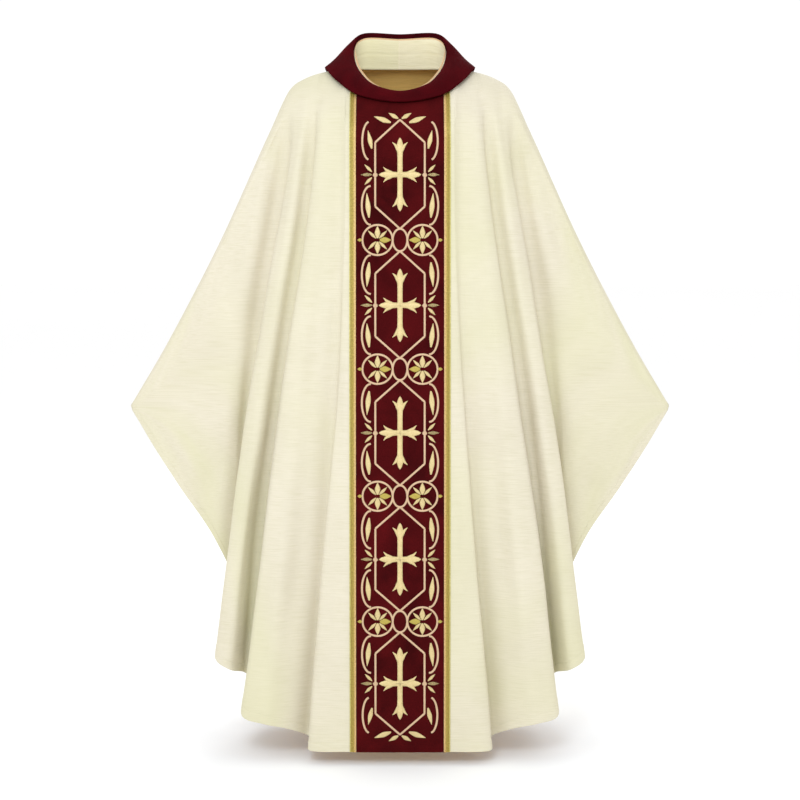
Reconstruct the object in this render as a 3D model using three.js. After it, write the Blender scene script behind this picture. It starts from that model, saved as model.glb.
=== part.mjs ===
// A gothic chasuble with a roll collar and a velvet band down the front, in the form it has
// when it is worn. Millimetres, +Z up, the front faces -Y. The origin is the middle of the
// neck base, level with the shoulders that carry the garment.
import * as THREE from "three";
import { TessellateModifier } from "three/addons/modifiers/TessellateModifier.js";
import { mergeVertices } from "three/addons/utils/BufferGeometryUtils.js";

// Cloth and gaps
const CLOTH = 2;
const SEAM_GAP = 0.3;
const VELVET = 1.5;
const GALLOON = 1.8;
const COLLAR_CLOTH = 2.6;
const BAND_CLOTH = 2;

// Band down the front
const VELVET_HALF = 78.5;
const BAND_HALF = 90.5;

// Neck base: where the panels end and the neckband starts
const NECK_SIDE = { x: 100, z: 1 };
const NECK_FRONT = { y: -93, z: -63 };
const NECK_BACK = { y: 82, z: 7 };
const NECK_BACK_ROUND = 2.6;
const NECK_FRONT_ROUND = 2;

// Seam from the side of the neck, over the shoulder point and down the arm to the tip
const TOP_LINE = [
  { x: 100, y: 0, z: 1 },
  { x: 150, y: 0, z: -9 },
  { x: 175, y: 0, z: -18 },
  { x: 202, y: 0, z: -36 },
  { x: 217, y: -1, z: -66 },
  { x: 256, y: -6, z: -151 },
  { x: 338, y: -15, z: -329 },
  { x: 432, y: -24, z: -507 },
  { x: 500, y: -30, z: -621 },
];

// Heights on each fold line, as a share of the way from its top to the hem
const LEVELS = [0, 0.2, 0.45, 0.72, 1];

// Rows of points down a panel, the first few of them round the shoulder
const FRONT_ROWS = 19;
const BACK_ROWS = 17;
const ROUND_ROWS = 5;

// Fold lines of the front, from the centre to the tip. x and y are taken at LEVELS, the
// first y is the depth just over the shoulder. hem is the height of the hem, round is the
// drop over which the cloth turns down from the seam, soft is the roundness of that turn
// and cuts is the number of columns up to the next line.
const FRONT_LINES = [
  { name: "centre", x: [0, 0, 0, 0, 0], y: [-143, -152, -172, -187, -196],
    hem: -1237, round: 100, soft: 2, cuts: 3 },
  { name: "velvet edge", x: [78.5, 78.5, 78.5, 78.5, 78.5], y: [-134, -147, -170, -186, -195],
    hem: -1237, round: 100, soft: 1.6, cuts: 1 },
  { name: "galloon edge", x: [90.5, 90.5, 90.5, 90.5, 90.5], y: [-131, -145, -168, -184, -194],
    hem: -1237, round: 100, soft: 1.55, cuts: 1 },
  { name: "first fold front", x: [96, 97, 107, 126, 150], y: [-129, -143, -165, -181, -192],
    hem: -1237, round: 100, soft: 1.5, cuts: 2 },
  { name: "first fold edge", x: [100, 101, 114, 138, 165], y: [-125, -140, -161, -173, -183],
    hem: -1236, round: 100, soft: 1.3, cuts: 2 },
  { name: "first valley", x: [106, 108, 119, 138, 166], y: [-122, -137, -153, -148, -142],
    hem: -1223, round: 100, soft: 1.3, cuts: 1 },
  { name: "second fold middle", x: [120, 128, 149, 176, 202], y: [-119, -133, -151, -158, -164],
    hem: -1203, round: 100, soft: 1.35, cuts: 1 },
  { name: "second fold crest", x: [133, 148, 178, 213, 246], y: [-112, -127, -149, -166, -178],
    hem: -1190, round: 100, soft: 1.4, cuts: 2 },
  { name: "second fold edge", x: [141, 161, 200, 244, 286], y: [-103, -118, -140, -156, -166],
    hem: -1179, round: 95, soft: 1.4, cuts: 2 },
  { name: "second valley", x: [150, 168, 209, 249, 281], y: [-97, -103, -109, -105, -100],
    hem: -1118, round: 90, soft: 1.5, cuts: 1 },
  { name: "third fold crest", x: [166, 190, 234, 276, 312], y: [-90, -104, -119, -133, -142],
    hem: -1098, round: 85, soft: 1.5, cuts: 1 },
  { name: "third fold edge", x: [178, 206, 252, 299, 338], y: [-81, -93, -109, -122, -131],
    hem: -1080, round: 80, soft: 1.5, cuts: 2 },
  { name: "third valley", x: [200, 222, 260, 292, 304], y: [-69, -71, -71, -66, -60],
    hem: -985, round: 60, soft: 1.6, cuts: 2 },
  { name: "wing inside", x: [240, 262, 295, 320, 338], y: [-60, -68, -72, -68, -60],
    hem: -880, round: 48, soft: 2, cuts: 2 },
  { name: "wing middle", x: [330, 352, 378, 396, 410], y: [-58, -66, -66, -58, -48],
    hem: -774, round: 44, soft: 2, cuts: 2 },
  { name: "wing outside", x: [432, 442, 450, 456, 461], y: [-55, -56, -54, -48, -42],
    hem: -695, round: 34, soft: 2, cuts: 2 },
  { name: "tip", x: [500, 500, 499, 498, 496], y: [-38, -38, -38, -37, -36],
    hem: -636, round: 6, soft: 2, cuts: 0 },
];

// Fold lines of the back, with the same columns of values. From the side of the neck to the
// tip they start where the front's do, so that both edges of the seam match.
const BACK_LINES = [
  { name: "centre", x: [0, 0, 0, 0, 0], y: [118, 132, 136, 148, 156],
    hem: -1237, round: 80, soft: 2, cuts: 3 },
  { name: "neck corner", x: [72, 72, 76, 84, 96], y: [116, 132, 140, 155, 165],
    hem: -1237, round: 80, soft: 2, cuts: 3 },
  { name: "first fold front", x: [95, 98, 108, 124, 140], y: [112, 128, 138, 151, 160],
    hem: -1237, round: 85, soft: 1.8, cuts: 2 },
  { name: "first fold edge", x: [100, 104, 118, 138, 158], y: [110, 124, 134, 143, 150],
    hem: -1236, round: 85, soft: 1.7, cuts: 2 },
  { name: "first valley", x: [106, 111, 126, 148, 170], y: [106, 117, 120, 116, 108],
    hem: -1222, round: 85, soft: 1.6, cuts: 1 },
  { name: "second fold middle", x: [120, 128, 148, 174, 200], y: [102, 116, 124, 130, 132],
    hem: -1206, round: 85, soft: 1.6, cuts: 1 },
  { name: "second fold crest", x: [133, 146, 172, 204, 234], y: [96, 113, 127, 141, 150],
    hem: -1192, round: 85, soft: 1.6, cuts: 2 },
  { name: "second fold edge", x: [141, 160, 194, 232, 266], y: [90, 105, 116, 128, 137],
    hem: -1181, round: 80, soft: 1.6, cuts: 2 },
  { name: "second valley", x: [150, 169, 206, 243, 272], y: [80, 89, 90, 86, 80],
    hem: -1136, round: 75, soft: 1.6, cuts: 1 },
  { name: "third fold crest", x: [166, 190, 232, 272, 304], y: [74, 84, 96, 106, 112],
    hem: -1098, round: 70, soft: 1.6, cuts: 1 },
  { name: "third fold edge", x: [178, 206, 250, 292, 326], y: [66, 76, 86, 94, 98],
    hem: -1076, round: 65, soft: 1.6, cuts: 2 },
  { name: "third valley", x: [200, 224, 262, 292, 304], y: [54, 56, 56, 50, 42],
    hem: -985, round: 55, soft: 1.7, cuts: 2 },
  { name: "wing inside", x: [240, 262, 296, 322, 342], y: [46, 52, 54, 48, 40],
    hem: -880, round: 46, soft: 2, cuts: 2 },
  { name: "wing middle", x: [330, 352, 378, 396, 410], y: [30, 36, 36, 28, 18],
    hem: -774, round: 42, soft: 2, cuts: 2 },
  { name: "wing outside", x: [432, 442, 450, 456, 461], y: [6, 8, 4, -4, -12],
    hem: -695, round: 32, soft: 2, cuts: 2 },
  { name: "tip", x: [500, 500, 499, 498, 496], y: [-22, -22, -22, -23, -24],
    hem: -636, round: 6, soft: 2, cuts: 0 },
];

// Rings of the neck, from the centre back round one side to the centre front. fold is where
// the collar turns over, edge is the free edge of its fall, rim is how far the top of the
// neckband stands above the fold, bulge is the crown of the fall.
const NECK_RINGS = [
  { name: "centre back", fold: [0, 76, 71], edge: [0, 113, -8], rim: -9, bulge: 8 },
  { name: "back corner", fold: [68, 69, 71], edge: [84, 99, -9], rim: -9, bulge: 12 },
  { name: "back side", fold: [82, 38, 49], edge: [131, 48, -8], rim: -3, bulge: 24 },
  { name: "side", fold: [81, 0, 17], edge: [139, -6, 1], rim: 1.5, bulge: 13 },
  { name: "front side", fold: [68.5, -43, -13], edge: [119, -64, -25], rim: 1.5,
    bulge: 12 },
  { name: "front corner", fold: [43, -75, -39], edge: [78, -104, -56], rim: 1.5,
    bulge: 14 },
  { name: "centre front", fold: [0, -89, -53], edge: [0, -125, -71], rim: 1.5,
    bulge: 9 },
];
// Lower edge of the neckband, beside the cut edge of the panels
const NECKBAND_SEAT = { up: 0.6, inward: 1.3 };

// Sections between two rings, the collar's inner leg, its gap to the neckband, the start of
// its roll, and the steps across its fall
const RING_CUTS = 4;
const COLLAR_LEG = 14;
const COLLAR_GAP = 1.9;
const COLLAR_ROLL = { out: 9, up: 7 };
const FALL_CUTS = 7;

// Embroidered crosses down the band
const CROSS_HEIGHTS = [-203, -435, -662, -888, -1112];
const CROSS = { tall: 130, wide: 75, arm: 10.5, thick: 1.2, lift: 0.8 };
const CROSS_EDGE = 26;

// Half outline of an arm's three-pointed end: out from the arm's middle line, and back from
// its tip
const CROSS_END = [
  { out: 5.25, back: 27 },
  { out: 7.6, back: 16 },
  { out: 14, back: 7.5 },
  { out: 4.8, back: 10.5 },
  { out: 3.6, back: 5 },
];

const CREAM = new THREE.Color(0.9, 0.86, 0.72);
const BURGUNDY = new THREE.Color(0.27, 0.03, 0.06);
const GOLD = new THREE.Color(0.72, 0.6, 0.28);

function mirror(point) {
  return new THREE.Vector3(-point.x, point.y, point.z);
}

// Smooth value between named levels, with slopes that never overshoot
function between(levels, values, t) {
  const last = levels.length - 1;
  const grade = [];
  for (let k = 0; k < last; k += 1) {
    grade.push((values[k + 1] - values[k]) / (levels[k + 1] - levels[k]));
  }
  const slope = (k) => {
    if (k === 0) return grade[0];
    if (k === last) return grade[last - 1];
    const product = grade[k - 1] * grade[k];
    return product <= 0 ? 0 : (2 * product) / (grade[k - 1] + grade[k]);
  };
  let k = 0;
  while (k < last - 1 && t > levels[k + 1]) k += 1;
  const step = levels[k + 1] - levels[k];
  const s = (t - levels[k]) / step;
  const rest = 1 - s;
  return values[k] * (1 + 2 * s) * rest * rest + slope(k) * step * s * rest * rest
    + values[k + 1] * s * s * (3 - 2 * s) - slope(k + 1) * step * s * s * rest;
}

// Point of the seam, or of the neck base, that a fold line starts from
function startOf(x, side) {
  if (x >= NECK_SIDE.x) {
    const xs = TOP_LINE.map((p) => p.x);
    const y = between(xs, TOP_LINE.map((p) => p.y), x);
    return new THREE.Vector3(x, y + side * SEAM_GAP / 2, between(xs, TOP_LINE.map((p) => p.z), x));
  }
  const end = side < 0 ? NECK_FRONT : NECK_BACK;
  const power = side < 0 ? NECK_FRONT_ROUND : NECK_BACK_ROUND;
  const share = (1 - (x / NECK_SIDE.x) ** power) ** (1 / power);
  return new THREE.Vector3(x, end.y * share, NECK_SIDE.z + (end.z - NECK_SIDE.z) * share);
}

// Point of the neck base on the line from the middle of the neck through another point
function onNeckline(point) {
  const end = point.y < 0 ? NECK_FRONT : NECK_BACK;
  const power = point.y < 0 ? NECK_FRONT_ROUND : NECK_BACK_ROUND;
  const reach = (Math.abs(point.x) / NECK_SIDE.x) ** power + (point.y / end.y) ** power;
  const scale = 1 / reach ** (1 / power);
  const share = (point.y * scale) / end.y;
  return new THREE.Vector3(point.x * scale, point.y * scale, NECK_SIDE.z + (end.z - NECK_SIDE.z) * share);
}

// Points down one fold line: round the shoulder first, then down to the hem
function foldLine(line, side, rows) {
  const start = startOf(line.x[0], side);
  const length = start.z - line.hem;
  const points = [];
  for (let row = 0; row <= rows; row += 1) {
    const turning = Math.min(row / ROUND_ROWS, 1);
    const rest = Math.max(row - ROUND_ROWS, 0) / (rows - ROUND_ROWS);
    const drop = line.round * (1 - Math.cos(turning * Math.PI / 2)) + (length - line.round) * rest;
    const t = drop / length;
    const inward = Math.max(1 - drop / line.round, 0);
    const turned = (1 - inward ** line.soft) ** (1 / line.soft);
    const depth = between(LEVELS, line.y, t);
    points.push(new THREE.Vector3(
      between(LEVELS, line.x, t),
      start.y + (depth - start.y) * turned,
      start.z - drop,
    ));
  }
  return points;
}

// Grid of outer points of a panel: grid[row][column], from one tip to the other
function panelGrid(lines, side, rows) {
  const half = lines.map((line) => foldLine(line, side, rows));
  const mirrored = half.slice(1).reverse().map((points) => points.map(mirror));
  const all = [...mirrored, ...half];
  const cuts = [...lines.slice(0, -1).reverse(), ...lines.slice(0, -1)].map((line) => line.cuts);
  const grid = [];
  for (let row = 0; row <= rows; row += 1) {
    const curve = new THREE.CatmullRomCurve3(all.map((points) => points[row]), false, "centripetal");
    const points = [];
    cuts.forEach((count, gap) => {
      for (let cut = 0; cut < count; cut += 1) {
        points.push(curve.getPoint((gap + cut / count) / cuts.length));
      }
    });
    points.push(all[all.length - 1][row].clone());
    grid.push(points);
  }
  grid[0].forEach((point) => {
    const seat = startOf(Math.min(Math.abs(point.x), TOP_LINE[TOP_LINE.length - 1].x), side);
    point.y = seat.y;
    point.z = seat.z;
  });
  return grid;
}

// Outward normals of a grid. Along the seam they stay square to it, so that the two panels meet
// edge to edge.
function gridNormals(grid, side) {
  return grid.map((points, row) => points.map((point, column) => {
    const up = grid[Math.max(row - 1, 0)][column];
    const down = grid[Math.min(row + 1, grid.length - 1)][column];
    const left = points[Math.max(column - 1, 0)];
    const right = points[Math.min(column + 1, points.length - 1)];
    const across = new THREE.Vector3().subVectors(right, left);
    const along = new THREE.Vector3().subVectors(down, up);
    const normal = new THREE.Vector3().crossVectors(across, along).multiplyScalar(side < 0 ? -1 : 1);
    if (row === 0 && Math.abs(point.x) >= NECK_SIDE.x) normal.y = 0;
    return normal.normalize();
  }));
}

function moved(grid, normals, distance) {
  const shift = (p, row, column) => p.clone().addScaledVector(normals[row][column], distance);
  return grid.map((points, row) => points.map((p, column) => shift(p, row, column)));
}

// Closed mesh between an outer and an inner grid of the same size
function wall(outer, inner, flip) {
  const rows = outer.length;
  const columns = outer[0].length;
  const positions = [];
  const index = [];
  for (const grid of [outer, inner]) {
    for (const points of grid) {
      for (const p of points) positions.push(p.x, p.y, p.z);
    }
  }
  const at = (layer, row, column) => layer * rows * columns + row * columns + column;
  const quad = (a, b, c, d) => {
    if (flip) index.push(a, c, b, a, d, c);
    else index.push(a, b, c, a, c, d);
  };
  for (let row = 0; row < rows - 1; row += 1) {
    for (let column = 0; column < columns - 1; column += 1) {
      quad(at(0, row, column), at(0, row + 1, column), at(0, row + 1, column + 1), at(0, row, column + 1));
      const [a, b, c, d] = [at(1, row, column), at(1, row + 1, column), at(1, row + 1, column + 1),
        at(1, row, column + 1)];
      if (flip) index.push(a, b, c, a, c, d);
      else index.push(a, c, b, a, d, c);
    }
  }
  for (let row = 0; row < rows - 1; row += 1) {
    const end = columns - 1;
    quad(at(0, row, 0), at(1, row, 0), at(1, row + 1, 0), at(0, row + 1, 0));
    quad(at(0, row + 1, end), at(1, row + 1, end), at(1, row, end), at(0, row, end));
  }
  for (let column = 0; column < columns - 1; column += 1) {
    const end = rows - 1;
    quad(at(0, 0, column + 1), at(1, 0, column + 1), at(1, 0, column), at(0, 0, column));
    quad(at(0, end, column), at(1, end, column), at(1, end, column + 1), at(0, end, column + 1));
  }
  return indexed(positions, index);
}

// Closed ring through sections that are closed outlines of the same number of points
function ring(sections) {
  const count = sections[0].length;
  const positions = [];
  const index = [];
  for (const section of sections) {
    for (const p of section) positions.push(p.x, p.y, p.z);
  }
  sections.forEach((section, s) => {
    const next = (s + 1) % sections.length;
    for (let k = 0; k < count; k += 1) {
      const after = (k + 1) % count;
      const [a, b, c, d] = [s * count + k, s * count + after, next * count + after, next * count + k];
      index.push(a, c, b, a, d, c);
    }
  });
  return indexed(positions, index);
}

function indexed(positions, index) {
  const geometry = new THREE.BufferGeometry();
  geometry.setAttribute("position", new THREE.Float32BufferAttribute(positions, 3));
  geometry.setIndex(index);
  geometry.computeVertexNormals();
  return geometry;
}

const frontGrid = panelGrid(FRONT_LINES, -1, FRONT_ROWS);
const frontNormals = gridNormals(frontGrid, -1);
const backGrid = panelGrid(BACK_LINES, 1, BACK_ROWS);
const backNormals = gridNormals(backGrid, 1);

// Strip of the front between two columns, laid on it with a gap and pulled in at its edges
function strip(first, last, thick) {
  const base = moved(frontGrid, frontNormals, SEAM_GAP);
  const top = moved(frontGrid, frontNormals, SEAM_GAP + thick);
  const cut = (grid) => grid.map((points) => {
    const part = points.slice(first, last + 1).map((p) => p.clone());
    const end = part.length - 1;
    const pull = (edge, beside) => {
      const step = new THREE.Vector3().subVectors(beside, edge);
      edge.addScaledVector(step.normalize(), SEAM_GAP / 2);
    };
    const [firstBeside, lastBeside] = [part[1].clone(), part[end - 1].clone()];
    pull(part[0], firstBeside);
    pull(part[end], lastBeside);
    return part;
  });
  return wall(cut(top), cut(base), false);
}

function columnAt(x) {
  const hem = frontGrid[frontGrid.length - 1];
  return hem.findIndex((p) => Math.abs(p.x - x) < 0.01);
}

// Point over the front at a place on the band, lifted off the cloth
function onBand(x, z, lift) {
  const middle = columnAt(0);
  let row = 0;
  while (row < frontGrid.length - 2 && frontGrid[row + 1][middle].z > z) row += 1;
  const share = (frontGrid[row][middle].z - z) / (frontGrid[row][middle].z - frontGrid[row + 1][middle].z);
  const along = (column) => frontGrid[row][column].clone().lerp(frontGrid[row + 1][column], share);
  let column = columnAt(-VELVET_HALF);
  while (along(column + 1).x < x) column += 1;
  const [left, right] = [along(column), along(column + 1)];
  const part = (x - left.x) / (right.x - left.x);
  const normal = frontNormals[row][column].clone().lerp(frontNormals[row + 1][column + 1], 0.5);
  return left.lerp(right, part).addScaledVector(normal.normalize(), lift);
}

// Points round the neck through one kind of ring point
function neckCurve(key) {
  const half = NECK_RINGS.map((r) => new THREE.Vector3(...r[key]));
  const mirrored = half.slice(1, -1).reverse().map(mirror);
  const curve = new THREE.CatmullRomCurve3([...half, ...mirrored], true, "centripetal");
  const gaps = half.length + mirrored.length;
  const count = gaps * RING_CUTS;
  return Array.from({ length: count }, (_, k) => curve.getPoint(k / count));
}

function neckValues(key) {
  const half = NECK_RINGS.map((r) => r[key]);
  const all = [...half, ...half.slice(1, -1).reverse(), half[0]];
  const steps = all.map((_, k) => k);
  const count = (all.length - 1) * RING_CUTS;
  return Array.from({ length: count }, (_, k) => between(steps, all, k / RING_CUTS));
}

const foldRing = neckCurve("fold");
const neckBase = foldRing.map(onNeckline);
const edgeRing = neckCurve("edge");
const rimHeights = neckValues("rim");
const bulges = neckValues("bulge");

// Closed outline from an inner path: the same path moved out, and back along the inside
function thicken(path, outward, thick) {
  const up = new THREE.Vector3(0, 0, 1);
  const side = new THREE.Vector3().crossVectors(outward, up).normalize();
  const shifted = path.map((point, k) => {
    const before = path[Math.max(k - 1, 0)];
    const after = path[Math.min(k + 1, path.length - 1)];
    const along = new THREE.Vector3().subVectors(after, before);
    return point.clone().addScaledVector(new THREE.Vector3().crossVectors(along, side).normalize(), thick);
  });
  return [...path, ...shifted.reverse()];
}

// Direction away from the neck at a ring point, level with the ground
function awayFrom(k) {
  const away = new THREE.Vector3().subVectors(edgeRing[k], foldRing[k]);
  away.z = 0;
  return away.normalize();
}

function collarSection(k) {
  const away = awayFrom(k);
  const gap = BAND_CLOTH / 2 + COLLAR_GAP;
  const fold = foldRing[k].clone().addScaledVector(away, gap);
  const toBase = new THREE.Vector3().subVectors(neckBase[k], foldRing[k]);
  const leg = fold.clone().addScaledVector(toBase, Math.min(COLLAR_LEG / toBase.length(), 0.4));
  const rolled = fold.clone().addScaledVector(away, COLLAR_ROLL.out);
  rolled.z += COLLAR_ROLL.up;
  const over = edgeRing[k].clone().lerp(fold, 0.45);
  over.z += bulges[k];
  const fall = new THREE.CubicBezierCurve3(fold, rolled, over, edgeRing[k]);
  return thicken([leg, ...fall.getPoints(FALL_CUTS)], away, COLLAR_CLOTH);
}

function neckbandSection(k) {
  const away = awayFrom(k);
  const base = neckBase[k].clone();
  base.z += NECKBAND_SEAT.up;
  base.addScaledVector(away, -NECKBAND_SEAT.inward - BAND_CLOTH / 2);
  const rise = new THREE.Vector3().subVectors(foldRing[k], base).normalize();
  const top = foldRing[k].clone().addScaledVector(rise, rimHeights[k]);
  const middle = base.clone().lerp(top, 0.5);
  const line = [base, middle, top];
  const inside = line.map((p) => p.clone().addScaledVector(away, -BAND_CLOTH / 2));
  const outside = line.map((p) => p.clone().addScaledVector(away, BAND_CLOTH / 2));
  return [...inside, ...outside.reverse()];
}

// Outline of a cross, one quarter turn of an arm after another
function crossShape() {
  const middle = new THREE.Vector2();
  const points = [];
  [CROSS.tall, CROSS.wide, CROSS.tall, CROSS.wide].forEach((size, quarter) => {
    const reach = size / 2;
    const right = CROSS_END.map(({ out, back }) => new THREE.Vector2(out, reach - back));
    const left = CROSS_END.map(({ out, back }) => new THREE.Vector2(-out, reach - back)).reverse();
    const inner = new THREE.Vector2(CROSS.arm / 2, CROSS.arm / 2);
    const arm = [inner, ...right, new THREE.Vector2(0, reach), ...left];
    points.push(...arm.map((p) => p.rotateAround(middle, (quarter * Math.PI) / 2)));
  });
  return new THREE.Shape(points);
}

function cross(height) {
  const flat = new THREE.ExtrudeGeometry(crossShape(), { depth: CROSS.thick, bevelEnabled: false });
  const fine = new TessellateModifier(CROSS_EDGE, 3).modify(flat);
  const place = fine.getAttribute("position");
  for (let k = 0; k < place.count; k += 1) {
    const p = onBand(place.getX(k), height + place.getY(k), SEAM_GAP + VELVET + CROSS.lift + place.getZ(k));
    place.setXYZ(k, p.x, p.y, p.z);
  }
  fine.deleteAttribute("normal");
  fine.deleteAttribute("uv");
  return mergeVertices(fine, 1e-3);
}

function add(name, geometry, color, roughness, metalness = 0) {
  const mesh = new THREE.Mesh(geometry, new THREE.MeshStandardMaterial({ color, roughness, metalness }));
  mesh.name = name;
  chasuble.add(mesh);
}

const chasuble = new THREE.Group();
const ringKeys = foldRing.map((_, k) => k);
const [leftEdge, leftVelvet] = [columnAt(-BAND_HALF), columnAt(-VELVET_HALF)];
const [rightVelvet, rightEdge] = [columnAt(VELVET_HALF), columnAt(BAND_HALF)];

add("front_panel", wall(frontGrid, moved(frontGrid, frontNormals, -CLOTH), false), CREAM, 0.85);
add("back_panel", wall(backGrid, moved(backGrid, backNormals, -CLOTH), true), CREAM, 0.85);
add("orphrey", strip(leftVelvet, rightVelvet, VELVET), BURGUNDY, 0.9);
add("galloon_left", strip(leftEdge, leftVelvet, GALLOON), GOLD, 0.5, 0.3);
add("galloon_right", strip(rightVelvet, rightEdge, GALLOON), GOLD, 0.5, 0.3);
add("collar", ring(ringKeys.map(collarSection)), BURGUNDY, 0.9);
add("neckband", ring(ringKeys.map(neckbandSection)), CREAM, 0.85);
CROSS_HEIGHTS.forEach((height, k) => add(`cross_${k + 1}`, cross(height), GOLD, 0.5, 0.2));

export default chasuble;
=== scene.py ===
"""The looks of a gothic chasuble: cream slub cloth, a velvet roll collar, and a velvet band with
braid and gold embroidery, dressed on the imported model. Tables are in millimetres, +Z up, and the
front faces -Y. The meshes are made in metres."""

import math

import bpy
import numpy as np
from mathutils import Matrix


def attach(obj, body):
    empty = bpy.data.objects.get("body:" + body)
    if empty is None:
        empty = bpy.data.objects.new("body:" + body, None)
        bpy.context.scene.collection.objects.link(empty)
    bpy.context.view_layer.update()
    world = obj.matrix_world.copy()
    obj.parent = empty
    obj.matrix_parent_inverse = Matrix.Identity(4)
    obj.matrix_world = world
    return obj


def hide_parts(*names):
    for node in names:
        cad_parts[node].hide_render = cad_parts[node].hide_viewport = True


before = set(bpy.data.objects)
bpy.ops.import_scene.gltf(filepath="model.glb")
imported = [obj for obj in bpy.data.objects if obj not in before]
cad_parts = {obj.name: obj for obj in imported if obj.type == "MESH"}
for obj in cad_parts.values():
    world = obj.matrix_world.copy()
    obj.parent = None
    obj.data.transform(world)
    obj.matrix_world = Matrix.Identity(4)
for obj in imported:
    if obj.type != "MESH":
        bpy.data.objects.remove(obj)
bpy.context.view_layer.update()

MM = 0.001

# Cloth and gaps, as in the model
SEAM_GAP = 0.3
CLOTH = 1.4
VELVET = 1.5
GALLOON = 1.5
COLLAR_CLOTH = 2.6
BAND_CLOTH = 2
VELVET_HALF = 78.5
BAND_HALF = 90.5

# Neck base of the panels
NECK_SIDE = {"x": 100, "z": 1}
NECK_FRONT = {"y": -93, "z": -63, "round": 2}
NECK_BACK = {"y": 82, "z": 7, "round": 2.6}

# Seam from the side of the neck, over the shoulder point and down the arm to the tip
TOP_LINE = {
    "x": (100, 150, 175, 202, 217, 256, 338, 432, 500),
    "y": (0, 0, 0, 0, -1, -6, -15, -24, -30),
    "z": (1, -9, -18, -36, -66, -151, -329, -507, -621),
}
LEVELS = (0, 0.2, 0.45, 0.72, 1)

# Fold lines of a panel, from the centre to the tip: x and y at LEVELS, the height of the hem, the
# drop over which the cloth turns down from the seam, and the roundness of that turn
FRONT_LINES = (
    ((0, 0, 0, 0, 0), (-143, -152, -172, -187, -196), -1237, 100, 2),
    ((78.5, 78.5, 78.5, 78.5, 78.5), (-134, -147, -170, -186, -195), -1237, 100, 1.6),
    ((90.5, 90.5, 90.5, 90.5, 90.5), (-131, -145, -168, -184, -194), -1237, 100, 1.55),
    ((96, 97, 107, 126, 150), (-129, -143, -165, -181, -192), -1237, 100, 1.5),
    ((100, 101, 114, 138, 165), (-125, -140, -161, -173, -183), -1236, 100, 1.3),
    ((106, 108, 119, 138, 166), (-122, -137, -153, -148, -142), -1223, 100, 1.3),
    ((120, 128, 149, 176, 202), (-119, -133, -151, -158, -164), -1203, 100, 1.35),
    ((133, 148, 178, 213, 246), (-112, -127, -149, -166, -178), -1190, 100, 1.4),
    ((141, 161, 200, 244, 286), (-103, -118, -140, -156, -166), -1179, 95, 1.4),
    ((150, 168, 209, 249, 281), (-97, -103, -109, -105, -100), -1118, 90, 1.5),
    ((166, 190, 234, 276, 312), (-90, -104, -119, -133, -142), -1098, 85, 1.5),
    ((178, 206, 252, 299, 338), (-81, -93, -109, -122, -131), -1080, 80, 1.5),
    ((200, 222, 260, 292, 304), (-69, -71, -71, -66, -60), -985, 60, 1.6),
    ((240, 262, 295, 320, 338), (-60, -68, -72, -68, -60), -880, 48, 2),
    ((330, 352, 378, 396, 410), (-58, -66, -66, -58, -48), -774, 44, 2),
    ((432, 442, 450, 456, 461), (-55, -56, -54, -48, -42), -695, 34, 2),
    ((500, 500, 499, 498, 496), (-38, -38, -38, -37, -36), -636, 6, 2),
)
BACK_LINES = (
    ((0, 0, 0, 0, 0), (118, 132, 136, 148, 156), -1237, 80, 2),
    ((72, 72, 76, 84, 96), (116, 132, 140, 155, 165), -1237, 80, 2),
    ((95, 98, 108, 124, 140), (112, 128, 138, 151, 160), -1237, 85, 1.8),
    ((100, 104, 118, 138, 158), (110, 124, 134, 143, 150), -1236, 85, 1.7),
    ((106, 111, 126, 148, 170), (106, 117, 120, 116, 108), -1222, 85, 1.6),
    ((120, 128, 148, 174, 200), (102, 116, 124, 130, 132), -1206, 85, 1.6),
    ((133, 146, 172, 204, 234), (96, 113, 127, 141, 150), -1192, 85, 1.6),
    ((141, 160, 194, 232, 266), (90, 105, 116, 128, 137), -1181, 80, 1.6),
    ((150, 169, 206, 243, 272), (80, 89, 90, 86, 80), -1136, 75, 1.6),
    ((166, 190, 232, 272, 304), (74, 84, 96, 106, 112), -1098, 70, 1.6),
    ((178, 206, 250, 292, 326), (66, 76, 86, 94, 98), -1076, 65, 1.6),
    ((200, 224, 262, 292, 304), (54, 56, 56, 50, 42), -985, 55, 1.7),
    ((240, 262, 296, 322, 342), (46, 52, 54, 48, 40), -880, 46, 2),
    ((330, 352, 378, 396, 410), (30, 36, 36, 28, 18), -774, 42, 2),
    ((432, 442, 450, 456, 461), (6, 8, 4, -4, -12), -695, 32, 2),
    ((500, 500, 499, 498, 496), (-22, -22, -22, -23, -24), -636, 6, 2),
)

# Rows of a panel: round the shoulder, down to the turned hem, and across it, above the edge. Its
# columns are at most COLUMN_WIDTH wide, and below the height STRAIGHT_WEFT its weft lies level.
ROUND_STEPS = 16
MAIN_STEPS = 116
HEM_ROWS = (19, 17.6, 16.6, 15.8, 15, 14.2, 12.5, 9, 5, 2, 0.6, 0)
COLUMN_WIDTH = 8.6
STRAIGHT_WEFT = -150

# Main folds drawn tighter: the fold line, the width, and the depth on the right and on the left
FRONT_FOLDS = (
    (5, 16, -4, -5),
    (7, 15, 2.5, 2),
    (9, 14, -7, -8.5),
    (10, 14, 2.5, 3),
    (12, 17, -11, -12),
    (13, 30, 3, 4),
)
BACK_FOLDS = (
    (4, 13, -7, -8),
    (6, 15, 2, 2.5),
    (8, 13, -9, -8),
    (9, 14, 2, 2),
    (11, 17, -9, -10),
)

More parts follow.
